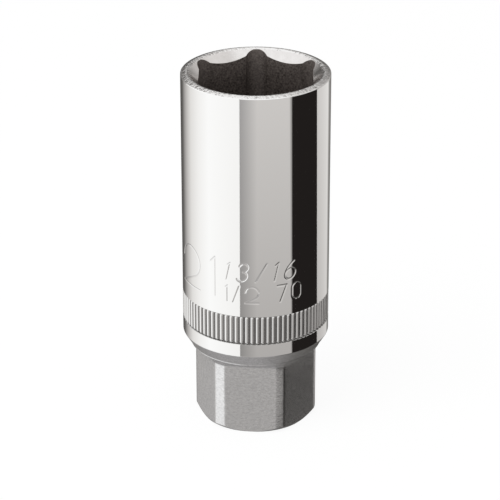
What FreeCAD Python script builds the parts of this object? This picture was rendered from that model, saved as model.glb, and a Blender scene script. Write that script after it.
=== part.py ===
import FreeCAD, Part

import math
import os

import Sketcher

# A spark plug socket for a half-inch square drive. It stands on its drive end: the origin is the middle
# of that end face and +Z runs up to the mouth. Sizes are in millimetres and angles in degrees.

doc = FreeCAD.newDocument("spark_plug_socket")

# Driving dimensions: alias, value, what it measures
SIZES = [
    ("overall_length", 70.0, "drive end face to mouth"),
    ("body_diameter", 27.9, "polished cylinder"),
    ("mouth_rim_diameter", 25.4, "ridge where the outer edge and the lead-in meet"),
    ("mouth_edge_drop", 0.45, "height of the bevel outside the ridge"),
    ("lead_in_half_angle", 47.0, "cone inside the ridge, from the axis"),
    ("plug_hex_across_flats", 21.2, "takes a 21 mm plug hexagon"),
    ("plug_hex_depth", 26.0, "mouth to the shoulder that the holder sits on"),
    ("corner_relief_radius", 2.2, "rounded relief in each corner of the hexagon"),
    ("corner_relief_reach", 12.31, "axis to the bottom of a corner relief"),
    ("deep_bore_diameter", 15.0, "room for the plug's insulator"),
    ("web_height", 18.0, "drive end face to the web's upper side, at its hole"),
    ("web_hole_diameter", 11.4, "punched hole through the web"),
    ("web_cone_height", 1.0, "slope of the deep bore's floor towards the hole"),
    ("drive_square", 12.8, "takes a half-inch square drive, 12.7 mm"),
    ("drive_square_depth", 16.0, "drive end face to the web's lower side"),
    ("drive_corner_radius", 0.6, "corners of the square hole"),
    ("drive_mouth_diameter", 15.2, "45 degree lead-in of the square hole, at the end face"),
    ("detent_diameter", 14.2, "ring groove that the drive's ball snaps into"),
    ("detent_width", 3.2, "width of that groove"),
    ("detent_height", 8.0, "drive end face to the middle of that groove"),
    ("drive_hex_across_flats", 21.0, "spanner flats on the drive end"),
    ("drive_hex_diameter", 23.2, "turned diameter that leaves the corners of those flats"),
    ("drive_hex_turn", 24.0, "drive hexagon about Z, against the plug hexagon"),
    ("drive_end_diameter", 21.0, "end face, inside its bevel"),
    ("drive_bevel_height", 0.9, "bevel round the end face"),
    ("flats_height", 14.0, "drive end face to the upper end of the spanner flats"),
    ("shoulder_height", 15.2, "drive end face to the lower edge of the shoulder's cone"),
    ("shoulder_diameter", 25.0, "lower edge of the shoulder's cone"),
    ("shoulder_cone_top", 17.85, "drive end face to the upper edge of that cone"),
    ("knurl_low", 20.6, "drive end face to the lower end of the knurl"),
    ("knurl_length", 5.6, "width of the knurled band"),
    ("knurl_depth", 0.35, "depth of a groove in it"),
    ("knurl_groove_width", 0.46, "width of a groove at the surface"),
    ("knurl_count", 86, "grooves round the body"),
    ("holder_height", 6.0, "non-magnetic ring that carries the magnet"),
    ("holder_clearance", 0.02, "between the holder and the flats, on the radius"),
    ("holder_bore_diameter", 14.4, "hole through the holder's flange"),
    ("holder_flange", 1.0, "thickness of that flange"),
    ("holder_bevel", 0.3, "bevel round the holder's upper edge"),
    ("serration_depth", 0.25, "depth of a notch in the holder's rim"),
    ("serration_width", 0.34, "width of a notch at the rim"),
    ("serration_count", 108, "notches round the holder"),
    ("magnet_diameter", 17.0, "outside of the ring magnet"),
    ("magnet_clearance", 0.02, "between the magnet and its holder, on the radius"),
    ("magnet_bore_diameter", 13.4, "lets the plug's insulator through"),
    ("magnet_bevel", 0.35, "bevel at the upper edge of the magnet's bore"),
    ("magnet_recess", 0.2, "magnet's face below the holder's face"),
]

sheet = doc.addObject("Spreadsheet::Sheet", "Sizes")
for row, (alias, value, meaning) in enumerate(SIZES, start=1):
    sheet.set(f"A{row}", meaning)
    sheet.set(f"B{row}", str(value))
    sheet.setAlias(f"B{row}", alias)
doc.recompute()

ORIGIN = (-1, 1)  # a sketch's own origin: geometry -1, point 1


def new_body(name):
    """An empty body whose label names its piece."""
    body = doc.addObject("PartDesign::Body", name)
    body.Label = name
    return body


def new_sketch(body, name, plane, lift="0"):
    """A sketch on one of the body's own origin planes, moved along the plane's normal by lift."""
    sketch = body.newObject("Sketcher::SketchObject", name)
    support = next(item for item in body.Origin.OriginFeatures if item.Role == plane)
    sketch.AttachmentSupport = [(support, "")]
    sketch.MapMode = "FlatFace"
    if lift != "0":
        sketch.setExpression("AttachmentOffset.Base.z", lift)
    return sketch


def bind(sketch, kind, name, expression, *where):
    """A named dimension of the sketch that follows the sheet."""
    index = sketch.addConstraint(Sketcher.Constraint(kind, *where))
    sketch.renameConstraint(index, name)
    sketch.setExpression(f"Constraints.{name}", expression)


def put_on_axis(sketch, axis, geometry, point):
    """Keeps a point of the sketch on its own horizontal (H) or vertical (V) axis, geometry -1 or -2."""
    index = {"H": -1, "V": -2}[axis]
    sketch.addConstraint(Sketcher.Constraint("PointOnObject", geometry, point, index))


def outline(sketch, corners):
    """A closed outline of straight lines, with each corner's two distances from the origin bound to the
    sheet. A distance of "0" puts the corner on that axis. The lines start as a ring, and the dimensions
    pull each corner to its place."""
    count = len(corners)
    reach = sheet.overall_length
    start = [
        FreeCAD.Vector(
            reach * (1.5 - math.cos(2 * math.pi * k / count)),
            reach * (1.5 - math.sin(2 * math.pi * k / count)),
            0,
        )
        for k in range(count)
    ]
    lines = [Part.LineSegment(start[k], start[(k + 1) % count]) for k in range(count)]
    sketch.addGeometry(lines, False)
    joints = [Sketcher.Constraint("Coincident", k, 2, (k + 1) % count, 1) for k in range(count)]
    sketch.addConstraint(joints)
    for k, (name, across, up) in enumerate(corners):
        if across == "0":
            put_on_axis(sketch, "V", k, 1)
        else:
            bind(sketch, "DistanceX", f"{name}_across", across, *ORIGIN, k, 1, start[k].x)
        if up == "0":
            put_on_axis(sketch, "H", k, 1)
        else:
            bind(sketch, "DistanceY", f"{name}_up", up, *ORIGIN, k, 1, start[k].y)


def hexagon(sketch, half_width, start):
    """A regular hexagon about the origin with two corners on the vertical axis."""
    radius = start / math.cos(math.pi / 6)
    corners = [
        FreeCAD.Vector(radius * math.sin(math.pi / 3 * k), radius * math.cos(math.pi / 3 * k), 0)
        for k in range(6)
    ]
    first = sketch.GeometryCount
    sketch.addGeometry([Part.LineSegment(corners[k], corners[(k + 1) % 6]) for k in range(6)], False)
    ring = sketch.addGeometry(Part.Circle(FreeCAD.Vector(), FreeCAD.Vector(0, 0, 1), radius), True)
    rules = [Sketcher.Constraint("Coincident", ring, 3, *ORIGIN)]
    for k in range(6):
        rules.append(Sketcher.Constraint("Coincident", first + k, 2, first + (k + 1) % 6, 1))
        rules.append(Sketcher.Constraint("PointOnObject", first + k, 1, ring))
    for k in range(5):
        rules.append(Sketcher.Constraint("Equal", first + k, first + k + 1))
    rules.append(Sketcher.Constraint("Vertical", first + 1))
    sketch.addConstraint(rules)
    bind(sketch, "DistanceX", "half_width", half_width, *ORIGIN, first + 1, 1, start)


def circle(sketch, name, radius, start):
    """A circle about the sketch's origin."""
    ring = sketch.addGeometry(Part.Circle(FreeCAD.Vector(), FreeCAD.Vector(0, 0, 1), start), False)
    sketch.addConstraint(Sketcher.Constraint("Coincident", ring, 3, *ORIGIN))
    bind(sketch, "Radius", name, radius, ring, start)


def square(sketch, side, start):
    """A square about the origin, with its sides along the sketch's axes."""
    reach = start / 2
    corners = [FreeCAD.Vector(x * reach, y * reach, 0) for x, y in ((-1, -1), (1, -1), (1, 1), (-1, 1))]
    sketch.addGeometry([Part.LineSegment(corners[k], corners[(k + 1) % 4]) for k in range(4)], False)
    rules = [Sketcher.Constraint("Coincident", k, 2, (k + 1) % 4, 1) for k in range(4)]
    rules += [Sketcher.Constraint("Horizontal", k) for k in (0, 2)]
    rules += [Sketcher.Constraint("Vertical", k) for k in (1, 3)]
    rules.append(Sketcher.Constraint("Symmetric", 0, 1, 2, 1, *ORIGIN))
    rules.append(Sketcher.Constraint("Equal", 0, 1))
    sketch.addConstraint(rules)
    bind(sketch, "DistanceX", "side", side, 0, 1, 0, 2, start)


def notch(sketch, surface, depth, width):
    """A V on the sketch's vertical axis, open outwards. Its sides run on past the surface until they are
    twice as far from the V's point, and so twice as far apart as at the surface."""
    start = sheet.body_diameter
    point = FreeCAD.Vector(0, start, 0)
    left = FreeCAD.Vector(-start, 2 * start, 0)
    right = FreeCAD.Vector(start, 2 * start, 0)
    sides = [Part.LineSegment(point, right), Part.LineSegment(right, left), Part.LineSegment(left, point)]
    sketch.addGeometry(sides, False)
    rules = [Sketcher.Constraint("Coincident", k, 2, (k + 1) % 3, 1) for k in range(3)]
    rules.append(Sketcher.Constraint("Horizontal", 1))
    sketch.addConstraint(rules)
    put_on_axis(sketch, "V", 0, 1)
    bind(sketch, "DistanceY", "bottom", f"{surface} - {depth}", *ORIGIN, 0, 1, point.y)
    bind(sketch, "DistanceY", "opening", f"{surface} + {depth}", *ORIGIN, 1, 1, right.y)
    bind(sketch, "DistanceX", "half_opening", width, *ORIGIN, 1, 1, right.x)
    bind(sketch, "DistanceX", "opening_width", f"2 * {width}", 1, 2, 1, 1, 2 * right.x)


def turned(body, kind, sketch, name):
    """A full turn of the sketch about the body's axis: a Revolution adds, a Groove cuts."""
    feature = body.newObject(f"PartDesign::{kind}", name)
    feature.Profile = sketch
    feature.ReferenceAxis = (sketch, ["V_Axis"])
    feature.Angle = 360
    sketch.Visibility = False
    return feature


def pocket(body, sketch, name, depth, upwards=False):
    """A cut from the sketch's plane to a depth that follows the sheet."""
    feature = body.newObject("PartDesign::Pocket", name)
    feature.Profile = sketch
    feature.setExpression("Length", depth)
    feature.Reversed = upwards
    sketch.Visibility = False
    return feature


def round_pattern(body, feature, sketch, name, count):
    """Copies of one cut, spread evenly round the body's axis."""
    pattern = body.newObject("PartDesign::PolarPattern", name)
    pattern.Originals = [feature]
    pattern.Axis = (sketch, ["N_Axis"])
    pattern.Angle = 360
    pattern.setExpression("Occurrences", count)
    body.Tip = pattern
    return pattern


def upright_edges(shape, reach):
    """Names of the straight edges along Z whose distance from the axis is reach."""
    names = []
    for number, edge in enumerate(shape.Edges, start=1):
        ends = [vertex.Point for vertex in edge.Vertexes]
        upright = len(ends) == 2 and abs(ends[0].x - ends[1].x) + abs(ends[0].y - ends[1].y) < 1e-6
        if upright and abs(math.hypot(ends[0].x, ends[0].y) - reach) < 1e-4:
            names.append(f"Edge{number}")
    return names


# The socket: one forging, turned outside, with a broached hexagon, a deep bore and a square drive hole
socket = new_body("socket_body")

blank_profile = new_sketch(socket, "BlankProfile", "XZ_Plane")
outline(
    blank_profile,
    [
        ("end_middle", "0", "0"),
        ("end_edge", "Sizes.drive_end_diameter / 2", "0"),
        ("bevel_top", "Sizes.drive_hex_diameter / 2", "Sizes.drive_bevel_height"),
        ("neck_foot", "Sizes.drive_hex_diameter / 2", "Sizes.flats_height"),
        ("shoulder_lip", "Sizes.shoulder_diameter / 2", "Sizes.shoulder_height"),
        ("cone_top", "Sizes.body_diameter / 2", "Sizes.shoulder_cone_top"),
        ("body_top", "Sizes.body_diameter / 2", "Sizes.overall_length - Sizes.mouth_edge_drop"),
        ("ridge", "Sizes.mouth_rim_diameter / 2", "Sizes.overall_length"),
        ("mouth_middle", "0", "Sizes.overall_length"),
    ],
)
blank = turned(socket, "Revolution", blank_profile, "TurnedBlank")

# Six flats are milled round the drive end, up to the neck under the shoulder
flats_sketch = new_sketch(socket, "FlatsSketch", "XY_Plane")
flats_sketch.setExpression("AttachmentOffset.Rotation.Angle", "Sizes.drive_hex_turn * 1 deg")
hexagon(flats_sketch, "Sizes.drive_hex_across_flats / 2", sheet.drive_hex_across_flats / 2)
circle(flats_sketch, "outside", "Sizes.body_diameter / 2", sheet.body_diameter / 2)
flats = pocket(socket, flats_sketch, "DriveFlats", "Sizes.flats_height", upwards=True)

# The plug's hexagon, broached from the mouth, with a rounded relief in each corner
plug_sketch = new_sketch(socket, "PlugHexSketch", "XY_Plane", lift="Sizes.overall_length")
hexagon(plug_sketch, "Sizes.plug_hex_across_flats / 2", sheet.plug_hex_across_flats / 2)
plug_hex = pocket(socket, plug_sketch, "PlugHex", "Sizes.plug_hex_depth")

relief_sketch = new_sketch(socket, "CornerReliefSketch", "XY_Plane", lift="Sizes.overall_length")
relief_middle = sheet.corner_relief_reach - sheet.corner_relief_radius
relief_circle = relief_sketch.addGeometry(
    Part.Circle(FreeCAD.Vector(0, relief_middle, 0), FreeCAD.Vector(0, 0, 1), sheet.corner_relief_radius),
    False,
)
put_on_axis(relief_sketch, "V", relief_circle, 3)
bind(
    relief_sketch,
    "DistanceY",
    "middle",
    "Sizes.corner_relief_reach - Sizes.corner_relief_radius",
    *ORIGIN,
    relief_circle,
    3,
    relief_middle,
)
bind(
    relief_sketch,
    "Radius",
    "radius",
    "Sizes.corner_relief_radius",
    relief_circle,
    sheet.corner_relief_radius,
)
relief = pocket(socket, relief_sketch, "CornerRelief", "Sizes.plug_hex_depth")
doc.recompute()
reliefs = round_pattern(socket, relief, relief_sketch, "CornerReliefs", "6")

# The cone that leads the plug in cuts the flats low and the corners high
lead_in_profile = new_sketch(socket, "LeadInProfile", "XZ_Plane")
outline(
    lead_in_profile,
    [
        (
            "tip",
            "0",
            "Sizes.overall_length - Sizes.mouth_rim_diameter / 2 / tan(Sizes.lead_in_half_angle * 1 deg)",
        ),
        ("ridge", "Sizes.mouth_rim_diameter / 2", "Sizes.overall_length"),
        ("middle", "0", "Sizes.overall_length"),
    ],
)
lead_in = turned(socket, "Groove", lead_in_profile, "LeadIn")

# The deep bore ends in a web with a punched hole
bore_profile = new_sketch(socket, "BoreProfile", "XZ_Plane")
outline(
    bore_profile,
    [
        ("end_middle", "0", "0"),
        ("hole_foot", "Sizes.web_hole_diameter / 2", "0"),
        ("hole_top", "Sizes.web_hole_diameter / 2", "Sizes.web_height"),
        ("floor_edge", "Sizes.deep_bore_diameter / 2", "Sizes.web_height + Sizes.web_cone_height"),
        ("seat_edge", "Sizes.deep_bore_diameter / 2", "Sizes.overall_length - Sizes.plug_hex_depth"),
        ("seat_middle", "0", "Sizes.overall_length - Sizes.plug_hex_depth"),
    ],
)
bore = turned(socket, "Groove", bore_profile, "DeepBore")

# The square hole for the drive, with a ring groove for its ball and a lead-in at the end face
square_sketch = new_sketch(socket, "SquareSketch", "XY_Plane")
square(square_sketch, "Sizes.drive_square", sheet.drive_square)
square_hole = pocket(socket, square_sketch, "SquareDrive", "Sizes.drive_square_depth", upwards=True)
doc.recompute()
corners = socket.newObject("PartDesign::Fillet", "SquareCorners")
corners.Base = (square_hole, upright_edges(square_hole.Shape, sheet.drive_square / math.sqrt(2)))
corners.setExpression("Radius", "Sizes.drive_corner_radius")

detent_profile = new_sketch(socket, "DetentProfile", "XZ_Plane")
outline(
    detent_profile,
    [
        ("low_middle", "0", "Sizes.detent_height - Sizes.detent_width / 2"),
        ("low_edge", "Sizes.detent_diameter / 2", "Sizes.detent_height - Sizes.detent_width / 2"),
        ("high_edge", "Sizes.detent_diameter / 2", "Sizes.detent_height + Sizes.detent_width / 2"),
        ("high_middle", "0", "Sizes.detent_height + Sizes.detent_width / 2"),
    ],
)
detent = turned(socket, "Groove", detent_profile, "DetentGroove")

drive_lead_profile = new_sketch(socket, "DriveLeadProfile", "XZ_Plane")
outline(
    drive_lead_profile,
    [
        ("middle", "0", "0"),
        ("edge", "Sizes.drive_mouth_diameter / 2", "0"),
        ("tip", "0", "Sizes.drive_mouth_diameter / 2"),
    ],
)
drive_lead = turned(socket, "Groove", drive_lead_profile, "DriveLeadIn")

# The knurled band: straight grooves pressed in side by side
knurl_sketch = new_sketch(socket, "KnurlSketch", "XY_Plane", lift="Sizes.knurl_low")
notch(knurl_sketch, "Sizes.body_diameter / 2", "Sizes.knurl_depth", "Sizes.knurl_groove_width")
knurl_groove = pocket(socket, knurl_sketch, "KnurlGroove", "Sizes.knurl_length", upwards=True)
doc.recompute()
knurl = round_pattern(socket, knurl_groove, knurl_sketch, "Knurl", "Sizes.knurl_count")

# The holder: a brass ring with a notched rim, pressed between the flats onto the bore's shoulder
SEAT = "Sizes.overall_length - Sizes.plug_hex_depth"
HOLDER_RADIUS = "(Sizes.plug_hex_across_flats / 2 - Sizes.holder_clearance)"
holder = new_body("magnet_holder")
holder_profile = new_sketch(holder, "HolderProfile", "XZ_Plane")
outline(
    holder_profile,
    [
        ("flange_foot", "Sizes.holder_bore_diameter / 2", SEAT),
        ("rim_foot", HOLDER_RADIUS, SEAT),
        ("rim_top", HOLDER_RADIUS, f"{SEAT} + Sizes.holder_height - Sizes.holder_bevel"),
        ("face_edge", f"{HOLDER_RADIUS} - Sizes.holder_bevel", f"{SEAT} + Sizes.holder_height"),
        (
            "pocket_edge",
            "Sizes.magnet_diameter / 2 + Sizes.magnet_clearance",
            f"{SEAT} + Sizes.holder_height",
        ),
        (
            "pocket_foot",
            "Sizes.magnet_diameter / 2 + Sizes.magnet_clearance",
            f"{SEAT} + Sizes.holder_flange",
        ),
        ("flange_top", "Sizes.holder_bore_diameter / 2", f"{SEAT} + Sizes.holder_flange"),
    ],
)
holder_ring = turned(holder, "Revolution", holder_profile, "HolderRing")

serration_sketch = new_sketch(holder, "SerrationSketch", "XY_Plane", lift=SEAT)
notch(serration_sketch, HOLDER_RADIUS, "Sizes.serration_depth", "Sizes.serration_width")
serration = pocket(holder, serration_sketch, "SerrationNotch", "Sizes.holder_height", upwards=True)
doc.recompute()
serrations = round_pattern(holder, serration, serration_sketch, "Serration", "Sizes.serration_count")

# The ring magnet lies in the holder's recess, on its flange
MAGNET_FOOT = f"{SEAT} + Sizes.holder_flange"
MAGNET_TOP = f"{SEAT} + Sizes.holder_height - Sizes.magnet_recess"
magnet = new_body("ring_magnet")
magnet_profile = new_sketch(magnet, "MagnetProfile", "XZ_Plane")
outline(
    magnet_profile,
    [
        ("bore_foot", "Sizes.magnet_bore_diameter / 2", MAGNET_FOOT),
        ("rim_foot", "Sizes.magnet_diameter / 2", MAGNET_FOOT),
        ("rim_top", "Sizes.magnet_diameter / 2", MAGNET_TOP),
        ("bevel_edge", "Sizes.magnet_bore_diameter / 2 + Sizes.magnet_bevel", MAGNET_TOP),
        ("bevel_foot", "Sizes.magnet_bore_diameter / 2", f"{MAGNET_TOP} - Sizes.magnet_bevel"),
    ],
)
magnet_ring = turned(magnet, "Revolution", magnet_profile, "MagnetRing")

doc.recompute()

# Nothing is written unless every feature computed and every piece is one sound solid
for item in doc.Objects:
    if "Invalid" in item.State or "Error" in item.State:
        raise RuntimeError(f"{item.Label} did not compute: {item.State}")

os.makedirs("parts", exist_ok=True)
for piece in (socket, holder, magnet):
    shape = piece.Shape
    if shape.isNull() or not shape.isValid() or len(shape.Solids) != 1:
        raise RuntimeError(f"{piece.Label} is not one valid solid")
    shape.exportStep(f"parts/{piece.Label}.step")
    print(f"{piece.Label}: {shape.Volume:.1f} mm3, {len(shape.Faces)} faces")
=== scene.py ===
# %% [markdown]
# # A spark plug socket in polished chrome
#
# A spark plug socket is one steel forging, plated with chrome. Deep in its mouth sits a brass ring that
# holds a ring magnet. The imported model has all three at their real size. This lesson gives them the looks
# of a studio photograph: mirror chrome with tall strips of light and dark, a pressed knurl, a satin drive
# end and a dark, unpolished hexagon inside.
#
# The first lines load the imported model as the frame. Everything below is built round it, in metres.

import math

import bmesh
import bpy
import numpy as np
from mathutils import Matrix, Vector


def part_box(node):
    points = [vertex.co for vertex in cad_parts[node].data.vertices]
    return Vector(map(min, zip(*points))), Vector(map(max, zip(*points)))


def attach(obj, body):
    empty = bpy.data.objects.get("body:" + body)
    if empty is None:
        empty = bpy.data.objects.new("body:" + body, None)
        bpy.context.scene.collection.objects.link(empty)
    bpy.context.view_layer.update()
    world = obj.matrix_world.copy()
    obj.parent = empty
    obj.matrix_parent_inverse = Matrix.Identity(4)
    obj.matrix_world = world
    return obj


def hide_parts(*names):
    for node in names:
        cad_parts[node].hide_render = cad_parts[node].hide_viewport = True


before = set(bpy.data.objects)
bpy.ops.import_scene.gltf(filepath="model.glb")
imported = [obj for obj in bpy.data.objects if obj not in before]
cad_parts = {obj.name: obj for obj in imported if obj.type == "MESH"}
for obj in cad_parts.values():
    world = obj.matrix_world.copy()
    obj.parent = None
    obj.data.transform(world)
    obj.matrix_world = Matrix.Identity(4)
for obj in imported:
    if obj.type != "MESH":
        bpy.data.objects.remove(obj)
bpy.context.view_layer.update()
print("packed pieces:", sorted(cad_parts))

# %% [markdown]
# ## Sizes
#
# The socket's height and thickness are read from the frame. The others are the sizes that the forging is
# made to, in millimetres, because a workshop drawing would give them so. Angles are worked out in radians.
# The socket stands on its drive end with its axis along Z, and the camera looks along +Y.

# %% Sizes of the forging, in millimetres
MM = 0.001

body_low, body_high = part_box("socket_body")
LENGTH = (body_high.z - body_low.z) / MM
BODY_R = (body_high.x - body_low.x) / 2 / MM

RIM_R = 12.7  # ridge round the mouth
EDGE_DROP = 0.45  # height of the bevel outside that ridge
LEAD_IN = math.radians(47)  # cone inside the ridge, from the axis
PLUG_FLAT_R = 10.6  # axis to a flat of the plug hexagon
RELIEF_R = 2.2  # rounded relief in each of its corners
RELIEF_REACH = 12.31  # axis to the bottom of that relief
PLUG_DEPTH = 26.0  # mouth to the shoulder that the magnet's holder sits on
BORE_R = 7.5
WEB_Z = 18.0  # web between the two ends, at its hole
WEB_SLOPE = 1.0
WEB_HOLE_R = 5.7
SQUARE_R = 6.4  # axis to a side of the square drive hole
SQUARE_CORNER = 0.6
SQUARE_DEPTH = 16.0
DRIVE_MOUTH_R = 7.6
DETENT_R = 7.1
DETENT_LOW, DETENT_HIGH = 6.4, 9.6
HEX_FLAT_R = 10.5  # axis to a spanner flat
HEX_CORNER_R = 11.6  # turned corners between the flats
HEX_TURN = math.radians(24)
END_BEVEL = 0.9
FLATS_Z = 14.0  # upper end of the spanner flats
SHOULDER_Z = 15.2
LIP_R = 12.5
LIP_HEIGHT = 0.18  # narrow upright edge under the shoulder's cone
CONE_TOP_Z = 17.7
KNURL_LOW, KNURL_HIGH = 20.3, 26.1
KNURL_COUNT = 86
KNURL_DEPTH = 0.35

print(f"socket: {2 * BODY_R:.1f} mm across, {LENGTH:.1f} mm long")

# %% [markdown]
# ## The camera
#
# A tool like this is photographed from far off with a long lens, so that its sides stay nearly parallel.
# The distance, the height of the view and the lens were found by laying the model's rim, knurl and drive
# end over the photograph. The small shift only puts the socket as far right of the middle as it is there.

# %% The camera
FRAME_PX = 500  # the photograph is square
FOCAL_PX = 2512.2  # focal length in pixels of that frame
DISTANCE = 477.94 * MM
ELEVATION = math.radians(24.512)
AZIMUTH = math.radians(0.8)  # the camera stands this far round from -Y towards +X
AIM_Z = 33.58 * MM
AXIS_PX = 255.737  # the socket's axis in the frame, from its left edge
SENSOR_MM = 36.0

lens = bpy.data.cameras.new("long_lens")
lens.sensor_width = SENSOR_MM
lens.lens = FOCAL_PX / FRAME_PX * SENSOR_MM
lens.shift_x = (FRAME_PX / 2 - AXIS_PX) / FRAME_PX
camera = bpy.data.objects.new("long_lens", lens)
camera.location = (
    DISTANCE * math.cos(ELEVATION) * math.sin(AZIMUTH),
    -DISTANCE * math.cos(ELEVATION) * math.cos(AZIMUTH),
    AIM_Z + DISTANCE * math.sin(ELEVATION),
)
camera.rotation_euler = (math.pi / 2 - ELEVATION, 0, AZIMUTH)
bpy.context.scene.collection.objects.link(camera)
bpy.context.scene.camera = camera
print(f"lens {lens.lens:.0f} mm at {DISTANCE:.3f} m")

# %% [markdown]
# ## Rings of points
#
# The forging is round nearly everywhere, so its skin is a stack of rings. A ring is a radius and a height
# for every angle round the axis. Where the section isn't a circle, as on a hexagon, the radius simply
# depends on the angle. Polished metal shows every flaw in a mesh, and this way the points lie exactly on
# the true surface.
#
# Smooth shading averages the slopes of the faces at each point. So a plain stretch beside a rounded edge
# has one more ring close to that edge. Without this holding ring, the edge's slope would spread over the
# whole stretch and bend its reflections.
#
# Rings need many points where something happens and few elsewhere, so the angles are chosen first.


# %% Angles round the axis
KEPT_CLEAR = 0.05  # degrees beside an exact angle that hold no other


def columns(coarse, fine=(), exact=()):
    """Sorted angles from 0 to a full turn, in radians; the arguments are in degrees. They are coarse
    degrees apart, but closer in the fine stretches, each (middle, half width, step), and the exact angles
    are in the list whatever falls beside them."""
    angles = np.arange(0, 360, coarse, float)
    for middle, half_width, step in fine:
        off = np.abs((angles - middle + 180) % 360 - 180)
        stretch = middle + np.arange(-half_width, half_width + step / 2, step)
        angles = np.concatenate([angles[off > half_width], stretch % 360])
    for angle in exact:
        off = np.abs((angles - angle + 180) % 360 - 180)
        angles = np.append(angles[off > KEPT_CLEAR], angle % 360)
    return np.radians(np.unique(np.round(angles, 6)))


def fold(angle, sectors, offset=0.0):
    """The angle to the middle of the nearest of several equal sectors, the first of which is at offset."""
    width = 2 * math.pi / sectors
    return (angle - offset + width / 2) % width - width / 2


def soft_min(a, b, rounding):
    """The smaller of a and b, with the corner where they meet rounded off: half of their sum less the
    length of (difference, rounding)."""
    return (a + b - np.sqrt((a - b) ** 2 + rounding**2)) / 2


print(len(columns(coarse=5, fine=[(90, 10, 0.5)])), "angles with one fine stretch")

# %% [markdown]
# ## Outlines of the hexagons and the square
#
# Seen along the axis, a flat at a distance d stands d / cos(angle) from the axis. The plug's hexagon also
# has a round relief in each corner, where the ray from the axis leaves a circle instead. The drive end is
# a turned bar with six flats milled on it, so it is the smaller of the flat and the bar, and its edges
# are rounded a little, because plating and handling never leave them sharp.


# %% Radii against the angle
RELIEF_MIDDLE = RELIEF_REACH - RELIEF_R  # axis to the middle of the relief's round
FLAT_EDGE_ROUNDING = 0.1


def plug_radius(angle):
    """Axis to the wall of the plug hexagon: the flat, or the relief's circle where that reaches further.
    A ray at an angle b from the circle's middle, m away, leaves it at m cos b + sqrt(r^2 - (m sin b)^2)."""
    flat = PLUG_FLAT_R / np.cos(fold(angle, 6))
    beside = fold(angle, 6, math.pi / 6)
    inside = RELIEF_R**2 - (RELIEF_MIDDLE * np.sin(beside)) ** 2
    round_wall = RELIEF_MIDDLE * np.cos(beside) + np.sqrt(np.maximum(inside, 0))
    return np.where(inside > 0, np.maximum(flat, round_wall), flat)


def drive_radius(angle):
    """Axis to the outside of the drive end: the milled flat or the turned corner, whichever is nearer."""
    return soft_min(HEX_FLAT_R / np.cos(fold(angle, 6, HEX_TURN)), HEX_CORNER_R, FLAT_EDGE_ROUNDING)


def square_radius(angle):
    """Axis to the wall of the square drive hole, whose corners are rounded."""
    flat = SQUARE_R / np.cos(fold(angle, 4))
    beside = fold(angle, 4, math.pi / 4)
    middle = (SQUARE_R - SQUARE_CORNER) * math.sqrt(2)
    inside = SQUARE_CORNER**2 - (middle * np.sin(beside)) ** 2
    round_wall = middle * np.cos(beside) + np.sqrt(np.maximum(inside, 0))
    return np.where(inside > 0, np.minimum(flat, round_wall), flat)


ALL_ROUND = np.radians(np.arange(360))
walls = plug_radius(ALL_ROUND)
print(f"plug hexagon {walls.min():.2f} to {walls.max():.2f} mm from the axis")

# %% [markdown]
# ## The knurl
#
# A knurl is pressed in by a wheel, which pushes valleys into the bar and leaves rounded ridges between
# them. Here the ridges are capsules: a straight core with a round section and round ends. The surface
# lies at the bottom of the valleys, and rises to the bar's own radius along the core of each ridge.
#
# The polishing wheel never reaches the valleys, so they stay dull. How deep each point lies, with
# the knurl's valleys as 1, is kept with the mesh under the name "recess", and the chrome's material reads
# it, for their dullness and for painted shade that darkens their colour.

# %% The knurl as a radius
KNURL_PITCH = 2 * math.pi * BODY_R / KNURL_COUNT
RIDGE_HALF_WIDTH = 0.37 * KNURL_PITCH
KNURL_WALL = 0.10  # width of the slope at either end of the band
KNURL_VALLEY_AT = -math.pi / 2  # a valley faces -Y


def ramp(value, start, end):
    """0 before start, 1 after end, and a smooth S between them: 3t^2 - 2t^3."""
    t = np.clip((value - start) / (end - start), 0, 1)
    return t * t * (3 - 2 * t)


def knurl_recess(angle, height):
    """How deep the knurl is, from 0 to 1. With q the distance to the nearest ridge's core, in ridge half
    widths, a ridge stands sqrt(1 - q^2) of the depth over the valley floor."""
    ridge_middle = KNURL_VALLEY_AT + math.pi / KNURL_COUNT
    across = fold(angle, KNURL_COUNT, ridge_middle) * BODY_R
    core_low = KNURL_LOW + KNURL_WALL + RIDGE_HALF_WIDTH
    core_high = KNURL_HIGH - RIDGE_HALF_WIDTH
    along = np.maximum(0, np.maximum(core_low - height, height - core_high))
    q = np.hypot(across, along) / RIDGE_HALF_WIDTH
    band = ramp(height, KNURL_LOW, KNURL_LOW + KNURL_WALL)
    band = band * ramp(KNURL_HIGH - height, 0, KNURL_WALL)
    return band * (1 - np.sqrt(np.clip(1 - q**2, 0, 1)))


print(f"knurl pitch {KNURL_PITCH:.2f} mm")

# %% [markdown]
# ## The size mark
#
# The size is rolled into the barrel before plating, as thin rounded grooves. Each figure is a few straight
# strokes and arcs in a box one unit high. The groove's depth at any point follows from the distance to
# the nearest stroke, so the marks are real dents in the metal, which bend the reflections.
#
# Beside the size stand plain figures: the same size in inches, the size of the square drive, and the
# length in millimetres.


# %% Distance to strokes
def to_line(x, y, start, end):
    """Distance to a straight stroke: to the nearest point of it, clamped to its two ends."""
    along = np.array(end, float) - start
    t = np.clip(((x - start[0]) * along[0] + (y - start[1]) * along[1]) / (along @ along), 0, 1)
    return np.hypot(x - start[0] - t * along[0], y - start[1] - t * along[1])


def to_arc(x, y, middle, radius, start, sweep):
    """Distance to an arc that turns by sweep degrees from start degrees: to the circle beside the arc, and
    to its nearer end elsewhere."""
    dx, dy = x - middle[0], y - middle[1]
    turned = (np.degrees(np.arctan2(dy, dx)) - start) % 360
    ends = [np.radians(start), np.radians(start + sweep)]
    to_ends = [np.hypot(dx - radius * np.cos(end), dy - radius * np.sin(end)) for end in ends]
    return np.where(turned <= sweep, np.abs(np.hypot(dx, dy) - radius), np.minimum(*to_ends))


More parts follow.
